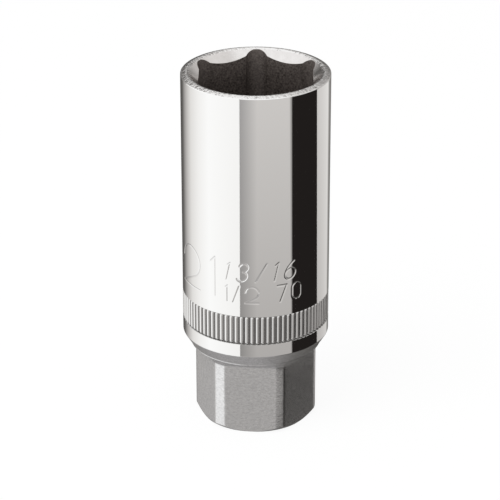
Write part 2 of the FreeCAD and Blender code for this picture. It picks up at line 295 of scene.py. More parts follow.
print("from (1, 1) to a stroke along x:", to_line(1, 1, (0, 0), (2, 0)))

# %% Figures made of strokes
# Each figure: its width, then its strokes
FIGURES = {
    "1": (0.13, [(to_line, (0.0, 0.86), (0.13, 1.0)), (to_line, (0.13, 1.0), (0.13, 0.0))]),
    "2": (
        0.765,
        [
            (to_arc, (0.385, 0.62), 0.38, -63, 240),
            (to_line, (0.556, 0.281), (0.0, 0.0)),
            (to_line, (0.0, 0.0), (0.765, 0.0)),
        ],
    ),
    "3": (0.56, [(to_arc, (0.26, 0.76), 0.24, -80, 235), (to_arc, (0.28, 0.27), 0.27, -150, 240)]),
    "6": (0.58, [(to_arc, (0.29, 0.29), 0.29, 0, 360), (to_arc, (0.83, 0.29), 0.83, 124, 56)]),
    "7": (0.55, [(to_line, (0.0, 1.0), (0.55, 1.0)), (to_line, (0.55, 1.0), (0.17, 0.0))]),
    "0": (
        0.56,
        [
            (to_arc, (0.28, 0.72), 0.28, 0, 180),
            (to_line, (0.0, 0.72), (0.0, 0.28)),
            (to_arc, (0.28, 0.28), 0.28, 180, 180),
            (to_line, (0.56, 0.28), (0.56, 0.72)),
        ],
    ),
    "/": (0.36, [(to_line, (0.0, 0.0), (0.36, 1.0))]),
}


def to_figures(x, y, text, left, foot, height, gap, slant):
    """Distance to a row of figures whose lower left corner is at (left, foot). The gap between figures is
    in figure heights, and a slant leans them over."""
    nearest = np.full(np.broadcast(x, y).shape, np.inf)
    v = (y - foot) / height
    u = (x - left) / height - slant * v
    for figure in text:
        width, strokes = FIGURES[figure]
        for measure, *shape in strokes:
            nearest = np.minimum(nearest, measure(u, v, *shape) * height)
        u = u - width - gap
    return nearest


print("figures:", " ".join(FIGURES))


# %% The marks on the barrel
GROOVE_HALF_WIDTH = 0.18
GROOVE_DEPTH = 0.06
MARK_LOW, MARK_HIGH = 28.8, 38.4  # the stretch of the barrel that holds the marks
MARK_LEFT, MARK_RIGHT = -77.0, 38.5  # and its angles from the front, in degrees
# Each mark: its text, the angle of its left edge, its foot and height, and the gap and slant of its figures
MARKS = [
    ("21", -74, 29.5, 8.1, 0.34, 0),
    ("13/16", -25, 33.4, 3.6, 0.5, 0.22),
    ("1/2", -24, 29.0, 3.3, 0.34, 0),
    ("70", 17, 29.0, 3.3, 0.34, 0),
]


def around(degrees):
    """Millimetres along the barrel's surface from the front, positive to the right."""
    return math.radians(degrees) * BODY_R


def mark_recess(angle, height):
    """How deep the marks are, in depths of the knurl: a round trough, (1 + cos(pi q)) / 2 of the full depth
    at q half widths from the middle of a stroke."""
    x = fold(angle + math.pi / 2 - AZIMUTH, 1) * BODY_R
    distances = [to_figures(x, height, text, around(left), *shape) for text, left, *shape in MARKS]
    q = np.clip(np.minimum.reduce(distances) / GROOVE_HALF_WIDTH, 0, 1)
    return GROOVE_DEPTH / KNURL_DEPTH * (1 + np.cos(math.pi * q)) / 2


print(f"marks from {MARK_LOW} to {MARK_HIGH} mm up, {around(MARK_RIGHT - MARK_LEFT):.1f} mm long")

# %% [markdown]
# ## The skin, ring by ring
#
# The skin is one closed surface. It starts at the edge of the drive end's face, climbs the outside, turns
# over the rim, goes down through the hexagon, the deep bore, the web and the square hole, and comes back
# across the end face. Each ring also says which finish the strip that starts at it has.
#
# The skin has five sections, each with its own angles: the drive end, the shoulder with the knurl, the
# barrel, the plug hexagon and the square hole.

# %% Finishes and sections
MIRROR, NICKED, MACHINED, SATIN, BROACHED = range(5)


def section(angles, rings):
    """One section: its angles, the points of its rings as rows, each point's recess, and the finish above
    each row. A ring is (radius, height, finish) or (radius, height, finish, recess)."""
    points, recesses = [], []
    for radius, height, _, *recess in rings:
        radius, height, depth = (part + 0 * angles for part in (radius, height, *(recess or [0])))
        points.append(np.stack([radius * np.cos(angles), radius * np.sin(angles), height], axis=-1))
        recesses.append(depth)
    return angles, np.array(points), np.array(recesses), [ring[2] for ring in rings]


def rounded(start, corner, end, reach, count=4):
    """Points of a rounded corner in a radius and height profile: a quadratic curve from reach before the
    corner to reach after it, along the lines to start and to end."""
    start, corner, end = (np.array(point, float) for point in (start, corner, end))
    before = corner + (start - corner) * reach / np.linalg.norm(start - corner)
    after = corner + (end - corner) * reach / np.linalg.norm(end - corner)
    t = np.linspace(0, 1, count)[:, None]
    return (1 - t) ** 2 * before + 2 * t * (1 - t) * corner + t**2 * after


print("a rounded corner:", rounded((0, 0), (1, 0), (1, 1), 0.2).round(2).tolist())

# %% [markdown]
# ### Drive end
#
# The end is bevelled on the lathe before the flats are milled, so the bevel cuts only the corners. Above
# the flats a short neck swells from the hexagon to the round lip of the shoulder. The lip stands upright
# for a fifth of a millimetre, and catches the light as a thin bright line.

# %% Drive end
HEX_FLAT_HALF = math.degrees(math.acos(HEX_FLAT_R / HEX_CORNER_R))
BEVEL_ROUNDING = 0.06
END_FACE_INSET = 0.05  # the first ring lies this far inside the bevel's foot
NECK_HOLLOW = 0.12  # how far the hollow at the neck's foot reaches, as a share of the neck's height
hex_edges = [math.degrees(HEX_TURN) + 60 * k + side * HEX_FLAT_HALF for k in range(6) for side in (-1, 1)]
drive_angles = columns(coarse=1.5, fine=[(edge, 2, 0.25) for edge in hex_edges])
hexagon = drive_radius(drive_angles)


def end_radius(height):
    """Axis to the outside near the end face: the hexagon or the bevel's cone, whichever is nearer."""
    cone = HEX_FLAT_R + height * (HEX_CORNER_R - HEX_FLAT_R) / END_BEVEL
    return soft_min(hexagon, cone, BEVEL_ROUNDING)


def neck_radius(height):
    """Axis to the neck: from the hexagon to the lip in a straight line, with a small hollow at its foot.
    The share t of the way follows (s + sqrt(s^2 + k^2)) / 2, which is s but never turns sharply at 0."""
    s = (height - FLATS_Z) / (SHOULDER_Z - FLATS_Z)
    t = (s + math.sqrt(s**2 + NECK_HOLLOW**2)) / 2
    return hexagon + (LIP_R - hexagon) * t


bevel_heights = np.concatenate([[0.03, 0.07], np.arange(0.12, 1.15, 0.07)])
flat_heights = [5.0, 10.0, 13.3]
neck_heights = [13.6, 13.8, 13.9, 13.97, 14.04, 14.12, 14.22, 14.4, 14.7, 15.0]
drive_end = section(
    drive_angles,
    [(end_radius(0) - END_FACE_INSET, 0, SATIN)]
    + [(end_radius(height), height, SATIN) for height in bevel_heights]
    + [(hexagon, height, SATIN) for height in flat_heights]
    + [(neck_radius(height), height, SATIN) for height in neck_heights],
)
print(f"drive end: {drive_end[1].shape[0]} rings of {len(drive_angles)} points")

# %% Shoulder and knurl
KNURL_STEPS = 10  # angles for each ridge and valley
LIP_ROUNDING, CONE_ROUNDING = 0.05, 0.10
CONE_HOLD = 0.03  # share of the cone between a holding ring and the rounded edge beside it
CYLINDER_HOLD = 0.05  # mm from the cone's rounded edge to the holding ring above it
KNURL_HOLDS = (0.08, 0.16)  # mm from the knurl to the holding rings on either side
STRAIGHT_AT = 1.2  # mm from either end of the knurl to the first ring where the ridges are straight
knurl_angles = np.arange(KNURL_COUNT * KNURL_STEPS) * 2 * math.pi / (KNURL_COUNT * KNURL_STEPS)
lip_foot, lip_head = (LIP_R, SHOULDER_Z), (LIP_R, SHOULDER_Z + LIP_HEIGHT)
lip = np.concatenate(
    [
        rounded((LIP_R - 1, SHOULDER_Z - 1), lip_foot, (LIP_R, CONE_TOP_Z), LIP_ROUNDING),
        rounded(lip_foot, lip_head, (BODY_R, CONE_TOP_Z), LIP_ROUNDING),
    ]
)
cone_top = rounded(lip_head, (BODY_R, CONE_TOP_Z), (BODY_R, LENGTH), CONE_ROUNDING)
cone = [lip[-1] + share * (cone_top[0] - lip[-1]) for share in (CONE_HOLD, 1 - CONE_HOLD)]
end_stretch = np.array([0.0, 0.03, 0.06, 0.10, 0.18, 0.27, 0.36, 0.46, 0.6])  # mm from either end
middle_stretch = np.linspace(KNURL_LOW + STRAIGHT_AT, KNURL_HIGH - STRAIGHT_AT, 4)
knurl_heights = np.concatenate(
    [KNURL_LOW + end_stretch, middle_stretch, (KNURL_HIGH - end_stretch)[::-1]]
)


def knurl_ring(height):
    """One ring of the knurl."""
    recess = knurl_recess(knurl_angles, height)
    return BODY_R - KNURL_DEPTH * recess, height, MIRROR, recess


band = section(
    knurl_angles,
    [(radius, height, SATIN) for radius, height in (*lip, *cone, *cone_top[:-1])]
    + [(BODY_R, cone_top[-1][1] + rise, MIRROR) for rise in (0, CYLINDER_HOLD)]
    + [(BODY_R, KNURL_LOW - drop, MIRROR) for drop in KNURL_HOLDS[::-1]]
    + [knurl_ring(height) for height in knurl_heights]
    + [(BODY_R, KNURL_HIGH + rise, MIRROR) for rise in KNURL_HOLDS],
)
print(f"shoulder and knurl: {band[1].shape[0]} rings of {len(knurl_angles)} points")

# %% [markdown]
# ### Barrel and rim
#
# The barrel is a plain cylinder, with a close grid of points only where the marks are. At the mouth a
# bevel runs up to the ridge, which is rounded, and inside it the lead-in cone begins.

# %% Barrel, up to the ridge round the mouth
MARK_STEP = 0.10  # mm between points where the marks are
BARREL_START = 0.3  # mm from the knurl to the barrel's first ring
TOP_EDGE_ROUNDING, RIDGE_ROUNDING = 0.12, 0.55
TOP_EDGE_HOLD = 0.06  # mm from the barrel's rounded top edge to the holding ring under it
plain_heights = [MARK_HIGH + MARK_STEP, 45.0, 52.0, 60.0]
front = -90 + math.degrees(AZIMUTH)
mark_half = (MARK_RIGHT - MARK_LEFT) / 2
barrel_angles = columns(
    coarse=3, fine=[(front + (MARK_RIGHT + MARK_LEFT) / 2, mark_half, math.degrees(MARK_STEP / BODY_R))]
)


def mark_ring(height):
    """One ring of the barrel's marked stretch."""
    recess = mark_recess(barrel_angles, height)
    return BODY_R - KNURL_DEPTH * recess, height, MIRROR, recess


edge = (BODY_R, LENGTH - EDGE_DROP)
top_edge = rounded((BODY_R, 0), edge, (RIM_R, LENGTH), TOP_EDGE_ROUNDING)
inward = (RIM_R - math.sin(LEAD_IN), LENGTH - math.cos(LEAD_IN))
ridge = rounded(edge, (RIM_R, LENGTH), inward, RIDGE_ROUNDING, count=9)
barrel = section(
    barrel_angles,
    [(BODY_R, height, MIRROR) for height in (KNURL_HIGH + BARREL_START, MARK_LOW - MARK_STEP)]
    + [mark_ring(height) for height in np.arange(MARK_LOW, MARK_HIGH, MARK_STEP)]
    + [(BODY_R, height, MIRROR) for height in (*plain_heights, top_edge[0][1] - TOP_EDGE_HOLD)]
    + [(radius, height, MIRROR) for radius, height in top_edge[:-1]]
    + [(radius, height, NICKED) for radius, height in (top_edge[-1], *ridge[:-1])]
    + [(ridge[-1][0], ridge[-1][1], MACHINED)],
)
print(f"barrel: {barrel[1].shape[0]} rings of {len(barrel_angles)} points")

# %% [markdown]
# ### Inside
#
# The lead-in cone cuts the flats low and the corners high, which gives the mouth its scalloped edge. That
# edge needs no drawing: the cone's height at the hexagon's own radius is the edge.

# %% Lead-in, plug hexagon and deep bore
relief_edge = math.degrees(math.asin(RELIEF_R / RELIEF_MIDDLE))
WALL_EDGE = 10.02  # where the relief's round meets the flat, in degrees from the corner
CONE_START = 0.10  # mm between the cone's first ring and the edges above and below it
CONE_GAPS = (0.08, 0.03)  # the cone's other rings lie this far outside the hexagon's wall
WALL_START = 0.05  # mm from the scalloped edge down to the wall's first ring
corners = [30 + 60 * k for k in range(6)]
plug_angles = columns(
    coarse=3,
    fine=[(corner, relief_edge, 0.6) for corner in corners],
    exact=[corner + side * WALL_EDGE for corner in corners for side in (-1, 1)],
)
plug_wall = plug_radius(plug_angles)


def lead_in_height(radius):
    """Height of the lead-in cone at a radius."""
    return LENGTH - (RIM_R - radius) / math.tan(LEAD_IN)


cone_top_r = np.maximum(ridge[-1][0] - CONE_START, plug_wall + CONE_START)
cone_hold_r, cone_foot_r = (plug_wall + gap for gap in CONE_GAPS)
plug_hexagon = section(
    plug_angles,
    [
        (cone_top_r, lead_in_height(cone_top_r), MACHINED),
        (cone_hold_r, lead_in_height(cone_hold_r), MACHINED),
        (cone_foot_r, lead_in_height(cone_foot_r), BROACHED),
        (plug_wall, lead_in_height(plug_wall) - WALL_START, BROACHED),
        (plug_wall, 62.0, BROACHED),
        (plug_wall, 52.0, BROACHED),
        (plug_wall, LENGTH - PLUG_DEPTH, BROACHED),
        (BORE_R, LENGTH - PLUG_DEPTH, BROACHED),
        (BORE_R, WEB_Z + WEB_SLOPE, BROACHED),
        (WEB_HOLE_R, WEB_Z, BROACHED),
        (WEB_HOLE_R, SQUARE_DEPTH, BROACHED),
    ],
)
print(f"plug hexagon: {plug_hexagon[1].shape[0]} rings of {len(plug_angles)} points")

# %% Square hole, back to the end face
detent_edge = math.degrees(math.acos(SQUARE_R / DETENT_R))
mouth_edge = math.degrees(math.acos(SQUARE_R / DRIVE_MOUTH_R))
sides = [90 * k for k in range(4)]
square_angles = columns(
    coarse=3,
    fine=[(side + 45, 4, 0.5) for side in sides],
    exact=[side + way * edge for side in sides for way in (-1, 1) for edge in (detent_edge, mouth_edge)],
)
square_wall = square_radius(square_angles)
detent_wall = np.maximum(square_wall, DETENT_R)
mouth_wall = np.maximum(square_wall, DRIVE_MOUTH_R)
square_hole = section(
    square_angles,
    [
        (square_wall, SQUARE_DEPTH, SATIN),
        (square_wall, DETENT_HIGH, SATIN),
        (detent_wall, DETENT_HIGH, SATIN),
        (detent_wall, DETENT_LOW, SATIN),
        (square_wall, DETENT_LOW, SATIN),
        (square_wall, mouth_wall - square_wall, SATIN),
        (mouth_wall, 0, SATIN),
    ],
)
print(f"square hole: {square_hole[1].shape[0]} rings of {len(square_angles)} points")

# %% [markdown]
# ## Joining the sections
#
# Inside a section, four neighbours make a face. Between two sections the rings have different angles, and
# a strip of triangles closes the gap, as a zip does: going round, the side whose next point comes first
# moves on, and makes a triangle with the point where the other side waits. The last section is zipped to
# the first, so the skin has no hole, no seam and no pole.


# %% Faces
def between_rings(count, rows):
    """Faces of a section: each point, the next one round, and the two above them."""
    here = np.arange(count)
    after = (here + 1) % count
    steps = np.arange(rows - 1)[:, None] * count
    return np.stack([here + steps, after + steps, after + count + steps, here + count + steps], axis=-1)


def zip_rings(lower, upper):
    """Triangles between two rings of angles, as index pairs into them. A step along the lower ring waits
    at the last upper point that comes no later, and a step along the upper ring the other way about."""
    full = 2 * math.pi
    next_lower = np.append(lower[1:], lower[0] + full)
    next_upper = np.append(upper[1:], upper[0] + full)
    waiting_upper = np.searchsorted(next_upper, next_lower, side="right") % len(upper)
    waiting_lower = np.searchsorted(next_lower, next_upper, side="left") % len(lower)
    at_lower, at_upper = np.arange(len(lower)), np.arange(len(upper))
    along_lower = np.stack([at_lower, (at_lower + 1) % len(lower), waiting_upper + len(lower)], axis=-1)
    along_upper = np.stack(
        [waiting_lower, (at_upper + 1) % len(upper) + len(lower), at_upper + len(lower)], axis=-1
    )
    return along_lower, along_upper


def closed_skin(name, sections):
    """One mesh from all sections, each zipped to the next and the last to the first."""
    starts = np.cumsum([0] + [points.shape[0] * points.shape[1] for _, points, _, _ in sections])
    faces, finishes = [], []
    for k, (angles, points, _, finish) in enumerate(sections):
        rows, count = points.shape[:2]
        faces += (between_rings(count, rows) + starts[k]).reshape(-1, 4).tolist()
        finishes += np.repeat(finish[:-1], count).tolist()
        following = (k + 1) % len(sections)
        top = starts[k] + (rows - 1) * count
        for triangles in zip_rings(angles, sections[following][0]):
            zipped = np.where(triangles < count, triangles + top, triangles - count + starts[following])
            faces += zipped.tolist()
            finishes += [finish[-1]] * len(zipped)
    points = np.concatenate([points.reshape(-1, 3) for _, points, _, _ in sections]) * MM
    recesses = np.concatenate([recess.reshape(-1) for _, _, recess, _ in sections])
    mesh = bpy.data.meshes.new(name)
    mesh.from_pydata(points.tolist(), [], faces)
    mesh.polygons.foreach_set("material_index", np.array(finishes, np.int32))
    mesh.polygons.foreach_set("use_smooth", np.ones(len(faces), bool))
    mesh.attributes.new("recess", "FLOAT", "POINT").data.foreach_set("value", recesses.astype(np.float32))
    return mesh


print("four points on each of two rings:", between_rings(4, 2).tolist())

# %% The forging
WELD = 0.002 * MM
SHARP = math.radians(30)


def add_piece(name, mesh):
    """A new object in the scene, at the origin, for a mesh that is already in place."""
    piece = bpy.data.objects.new(name, mesh)
    bpy.context.scene.collection.objects.link(piece)
    return piece


skin = closed_skin("socket_forging", [drive_end, band, barrel, plug_hexagon, square_hole])
forging = add_piece("socket_forging", skin)

shell = bmesh.new()
shell.from_mesh(skin)
bmesh.ops.remove_doubles(shell, verts=shell.verts, dist=WELD)
bmesh.ops.dissolve_degenerate(shell, edges=shell.edges, dist=WELD)
open_edges = sum(not edge.is_manifold for edge in shell.edges)
volume = shell.calc_volume(signed=True) / MM**3
shell.to_mesh(skin)
shell.free()
skin.set_sharp_from_angle(angle=SHARP)
triangles = sum(len(face.vertices) - 2 for face in skin.polygons)
print(f"forging: {triangles} triangles, {open_edges} open edges, {volume:.0f} mm3 of steel")

# %% [markdown]
# ## Materials
#
# One small function adds a node with its settings and its links, and another turns a colour as it is seen
# on a screen into the linear values that light is worked out in. Each finish below is a function of its
# own, which adds nodes and gives back the shader. Patterns are given by a real size in millimetres.


# %% Helpers for materials
def linear(code):
    """An sRGB hex colour as linear red, green, blue and alpha."""
    channels = [int(code[k : k + 2], 16) / 255 for k in (1, 3, 5)]
    return [c / 12.92 if c <= 0.04045 else ((c + 0.055) / 1.055) ** 2.4 for c in channels] + [1.0]


def node(tree, kind, settings=None, links=None):
    """Adds a node, whose kind is Blender's name for it without the ShaderNode that it begins with. A
    setting is a property of the node, or else the value of the input that has that name or number. A link
    joins another node's output to an input."""
    added = tree.nodes.new("ShaderNode" + kind)
    for name, value in (settings or {}).items():
        if isinstance(name, str) and hasattr(added, name):
            setattr(added, name, value)
        else:
            added.inputs[name].default_value = value
    for name, output in (links or {}).items():
        tree.links.new(output, added.inputs[name])
    return added


def new_material(surface):
    """A material that is named for the function surface. That function adds nodes to the tree that it is
    given, and gives back the shader, which is then joined to the material's output."""
    material = bpy.data.materials.new(surface.__name__)
    material.use_nodes = True
    tree = material.node_tree
    tree.nodes.clear()
    shader = surface(tree)
    node(tree, "OutputMaterial", {}, {"Surface": shader.outputs[0]})
    return material


def give_finish(mesh, surface):
    """Adds the next finish to a mesh."""
    mesh.materials.append(new_material(surface))
    print(f"{mesh.name}: finish {len(mesh.materials)} is {mesh.materials[-1].name}")


def per_size(size):
    """The scale of a noise texture on Object coordinates whose grains are so many millimetres wide."""
    return 1 / (size * MM)


print("white is", linear("#FFFFFF"))

# %% [markdown]
# ### Mirror chrome
#
# The barrel is bright nickel-chrome plate on steel that was ground and buffed. Plate that thin follows the
# steel, so the barrel is a mirror with the faintest haze. In the valleys of the knurl and in the marks the
# buffing wheel found nothing to rub on: there the plate is dull, and its grey colour is painted shade.


# %% Mirror chrome
def bright_chrome_plate(tree):
    """Bright where it was buffed; dull, and darkened to grey as painted shade, where the mesh says that it
    is recessed.
    """
    place = node(tree, "TexCoord").outputs["Object"]
    recess = node(tree, "Attribute", {"attribute_name": "recess"})
    smears = node(tree, "TexNoise", {"Scale": per_size(4), "Detail": 3.0}, {"Vector": place})
    haze = node(tree, "MapRange", {"To Min": 0.025, "To Max": 0.055}, {"Value": smears.outputs["Fac"]})
    dulled = node(
        tree,
        "MapRange",
        {"To Max": 0.28},
        {"Value": recess.outputs["Fac"], "To Min": haze.outputs["Result"]},
    )
    # The grey tone that the recess mixes in is painted shade for the knurl's valleys and the marks.
    plate = node(
        tree,
        "Mix",
        {"data_type": "RGBA", 6: linear("#FAFAF9"), 7: linear("#8E8C8B")},
        {0: recess.outputs["Fac"]},
    )
    return node(
        tree,
        "BsdfPrincipled",
        {"Metallic": 1.0},
        {"Base Color": plate.outputs[2], "Roughness": dulled.outputs["Result"]},
    )


give_finish(skin, bright_chrome_plate)

# %% [markdown]
# ### Nicked chrome
#
# The rim is the first thing that knocks against plugs and the bench. It was polished with the barrel, but
# it is full of tiny nicks, so its highlight breaks up, and its colour is darker at the bottom of the
# deepest.


# %% Nicked chrome
def nicked_chrome(tree):
    """Polished plate with shallow nicks up to half a millimetre wide, its colour darker at their bottom."""
    place = node(tree, "TexCoord").outputs["Object"]
    nicks = node(
        tree, "TexNoise", {"Scale": per_size(0.5), "Detail": 3.0, "Roughness": 0.6}, {"Vector": place}
    )
    relief = node(
        tree, "Bump", {"Strength": 0.9, "Distance": 0.2 * MM}, {"Height": nicks.outputs["Fac"]}
    )
    worn = node(tree, "MapRange", {"To Min": 0.05, "To Max": 0.14}, {"Value": nicks.outputs["Fac"]})
    # The colour is darker where the nicks are deepest.
    above_nick_bottoms = node(
        tree, "MapRange", {"From Min": 0.34, "From Max": 0.44}, {"Value": nicks.outputs["Fac"]}
    )
    tone = node(
        tree,
        "Mix",
        {"data_type": "RGBA", 6: linear("#A8A5A3"), 7: linear("#F4F3F2")},
        {0: above_nick_bottoms.outputs["Result"]},
    )
    return node(
        tree,
        "BsdfPrincipled",
        {"Metallic": 1.0},
        {
            "Base Color": tone.outputs[2],
            "Roughness": worn.outputs["Result"],
            "Normal": relief.outputs["Normal"],
        },
    )


give_finish(skin, nicked_chrome)

# %% [markdown]
# ### Machined chrome
#
# The lead-in cone inside the mouth is turned after forging and plated without buffing. The tool leaves
# rings, too fine to see one by one, that spread the highlights.


# %% Machined chrome
RING_MM = 0.22  # feed marks are finer, but would not show


def from_axis(tree, place):
    """The distance from the axis, in metres: the length of the Object coordinates without their Z."""
    across = node(tree, "VectorMath", {"operation": "MULTIPLY", 1: (1, 1, 0)}, {0: place})
    length = node(tree, "VectorMath", {"operation": "LENGTH"}, {0: across.outputs["Vector"]})
    return length.outputs["Value"]


def machined_chrome(tree):
    """Chrome over a turned cone: rings round the axis, and a softer mirror."""
    place = node(tree, "TexCoord").outputs["Object"]
    rings = node(
        tree,
        "TexNoise",
        {"noise_dimensions": "1D", "Scale": per_size(RING_MM), "Detail": 2.0},
        {"W": from_axis(tree, place)},
    )
    relief = node(
        tree, "Bump", {"Strength": 0.35, "Distance": 0.01 * MM}, {"Height": rings.outputs["Fac"]}
    )
    blotches = node(tree, "TexNoise", {"Scale": per_size(1.2), "Detail": 3.0}, {"Vector": place})
    tone = node(
        tree,
        "Mix",
        {"data_type": "RGBA", 6: linear("#DEDBD9"), 7: linear("#F4F2F1")},
        {0: blotches.outputs["Fac"]},
    )
    softness = node(
        tree, "MapRange", {"To Min": 0.12, "To Max": 0.26}, {"Value": blotches.outputs["Fac"]}
    )
    return node(
        tree,
        "BsdfPrincipled",
        {"Metallic": 1.0},
        {
            "Base Color": tone.outputs[2],
            "Roughness": softness.outputs["Result"],
            "Normal": relief.outputs["Normal"],
        },
    )


give_finish(skin, machined_chrome)

# %% [markdown]
# ### Satin chrome
#
# The drive end keeps the skin of the forging: it is shot clean, not ground, so its plate is matt with a
# fine pebble. Each grain tips the light a little, and broad facets take one tone with a fine speckle.


# %% Satin chrome
def satin_chrome(tree):
    """Matt chrome with a pebbled skin, whose grains are twice as wide as they are high."""
    place = node(tree, "TexCoord").outputs["Object"]
    flattened = node(tree, "VectorMath", {"operation": "MULTIPLY", 1: (1, 1, 2)}, {0: place})
    pebbles = node(
        tree,
        "TexNoise",
        {"Scale": per_size(0.6), "Detail": 4.0, "Roughness": 0.65},
        {"Vector": flattened.outputs["Vector"]},
    )
    relief = node(
        tree, "Bump", {"Strength": 0.7, "Distance": 0.03 * MM}, {"Height": pebbles.outputs["Fac"]}
    )
    contrast = node(
        tree, "MapRange", {"From Min": 0.35, "From Max": 0.65}, {"Value": pebbles.outputs["Fac"]}
    )
    tone = node(
        tree,
        "Mix",
        {"data_type": "RGBA", 6: linear("#DDDDDD"), 7: linear("#F1F1F1")},
        {0: contrast.outputs["Result"]},
    )
    return node(
        tree,
        "BsdfPrincipled",
        {"Metallic": 1.0, "Roughness": 0.22},
        {"Base Color": tone.outputs[2], "Normal": relief.outputs["Normal"]},
    )


give_finish(skin, satin_chrome)

# %% [markdown]
# ### Broached steel
#
# Plating throws hardly any chrome into a deep hole. The hexagon inside stays brown-black from its heat
# treatment, and speckled, because the broach tears the steel a little.


# %% Broached steel
def heat_blackened_steel(tree):
    """Dark, speckled steel; lighter grey in the rounded reliefs, which lie further out than the flats, as
    painted light.
    """
    place = node(tree, "TexCoord").outputs["Object"]
    speckles = node(
        tree, "TexNoise", {"Scale": per_size(0.36), "Detail": 3.0, "Roughness": 0.7}, {"Vector": place}
    )
    contrast = node(
        tree, "MapRange", {"From Min": 0.3, "From Max": 0.72}, {"Value": speckles.outputs["Fac"]}
    )
    tone = node(
        tree,
        "Mix",
        {"data_type": "RGBA", 6: linear("#2C2622"), 7: linear("#7E7570")},
        {0: contrast.outputs["Result"]},
    )
    # Painted light: the rounded reliefs are lightened towards grey for the light that falls into them.
    relief_painted_light = node(
        tree,
        "MapRange",
        {"From Min": 11.4 * MM, "From Max": 12.3 * MM, "To Max": 0.14},
        {"Value": from_axis(tree, place)},
    )
    reliefs = node(
        tree,
        "Mix",
        {"data_type": "RGBA", 7: linear("#B4ABA6")},
        {0: relief_painted_light.outputs["Result"], 6: tone.outputs[2]},
    )
    relief = node(
        tree, "Bump", {"Strength": 0.8, "Distance": 0.08 * MM}, {"Height": speckles.outputs["Fac"]}
    )
    return node(
        tree,
        "BsdfPrincipled",
        {"Metallic": 0.6, "Roughness": 0.5},
        {"Base Color": reliefs.outputs[2], "Normal": relief.outputs["Normal"]},
    )


give_finish(skin, heat_blackened_steel)
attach(forging, "root")
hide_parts("socket_body")

# %% [markdown]
# ### Brass and magnet
#
# The ring that holds the magnet is turned from brass bar, so its face has fine rings, and years of grease
# have browned it in patches. The magnet is pressed from powder and fired: a dull, speckled, brownish grey
# with no plate. Both stay as the frame packs them, and only get their finishes here.


# %% Turned brass
def turned_brass(tree):
    """Brass with turning marks round the axis and a patchy brown tarnish."""
    place = node(tree, "TexCoord").outputs["Object"]
    tarnish = node(
        tree, "TexNoise", {"Scale": per_size(1.1), "Detail": 4.0, "Roughness": 0.6}, {"Vector": place}
    )
    tone = node(
        tree,
        "Mix",
        {"data_type": "RGBA", 6: linear("#A98450"), 7: linear("#E0BC80")},
        {0: tarnish.outputs["Fac"]},
    )
    rings = node(
        tree,
        "TexNoise",
        {"noise_dimensions": "1D", "Scale": per_size(0.15), "Detail": 2.0},
        {"W": from_axis(tree, place)},
    )
    relief = node(
        tree, "Bump", {"Strength": 0.4, "Distance": 0.02 * MM}, {"Height": rings.outputs["Fac"]}
    )
    dullness = node(tree, "MapRange", {"To Min": 0.5, "To Max": 0.3}, {"Value": tarnish.outputs["Fac"]})
    return node(
        tree,
        "BsdfPrincipled",
        {"Metallic": 1.0},
        {
            "Base Color": tone.outputs[2],
            "Roughness": dullness.outputs["Result"],
            "Normal": relief.outputs["Normal"],
        },
    )


holder_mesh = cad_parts["magnet_holder"].data
holder_mesh.materials.clear()
give_finish(holder_mesh, turned_brass)


# %% Sintered magnet
def sintered_magnet(tree):
    """Fired powder: brownish grey grains, half metal and half clay to the eye."""
    place = node(tree, "TexCoord").outputs["Object"]
    grains = node(
        tree, "TexNoise", {"Scale": per_size(0.25), "Detail": 3.0, "Roughness": 0.7}, {"Vector": place}
    )
    tone = node(
        tree,
        "Mix",
        {"data_type": "RGBA", 6: linear("#6E575B"), 7: linear("#B0969A")},
        {0: grains.outputs["Fac"]},
    )
    relief = node(
        tree, "Bump", {"Strength": 0.5, "Distance": 0.03 * MM}, {"Height": grains.outputs["Fac"]}
    )
    return node(
        tree,
        "BsdfPrincipled",
        {"Metallic": 0.7, "Roughness": 0.42},
        {"Base Color": tone.outputs[2], "Normal": relief.outputs["Normal"]},
    )


magnet_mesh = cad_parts["ring_magnet"].data
magnet_mesh.materials.clear()
give_finish(magnet_mesh, sintered_magnet)

# %% [markdown]
# ## The studio
#
# Polished chrome has no look of its own: it shows what stands round it. Photographers hang paper round
# such a thing, and the camera sees that paper only in the metal. Each sheet here is a patch of a sphere
# that glows with its own tones. A white sheet on the left gives the broad bright strip, a grey one in
# front the grey strip, and a black flag on the right the black one, which makes the barrel look round.
#
# The strips in the photograph tell where such papers hung. A cylinder turns what it reflects by twice the
# angle of its surface, so a strip a quarter of the way round the barrel shows the paper half a turn away.
# Twelve papers are enough, hung where that reckoning puts them and moved until the strips agree.

# %% Papers
# Sheets of paper that a studio keeps at hand, from white to black
PAPERS = {
    "white": "#FFFFFF",
    "milk": "#F5F4F3",
    "pale": "#E3E1DF",
    "light": "#CECBC9",
    "silver": "#B6B3B1",
    "ash": "#AAA7A5",
    "grey": "#A2A0A0",
    "stone": "#8A8886",
    "slate": "#6C6A68",
    "dusk": "#565452",
    "coal": "#3C3A38",
    "black": "#201D1C",
}
FOOT, TOP = -27.5, -17.5  # degrees above the horizon; the barrel mirrors the walls between these two
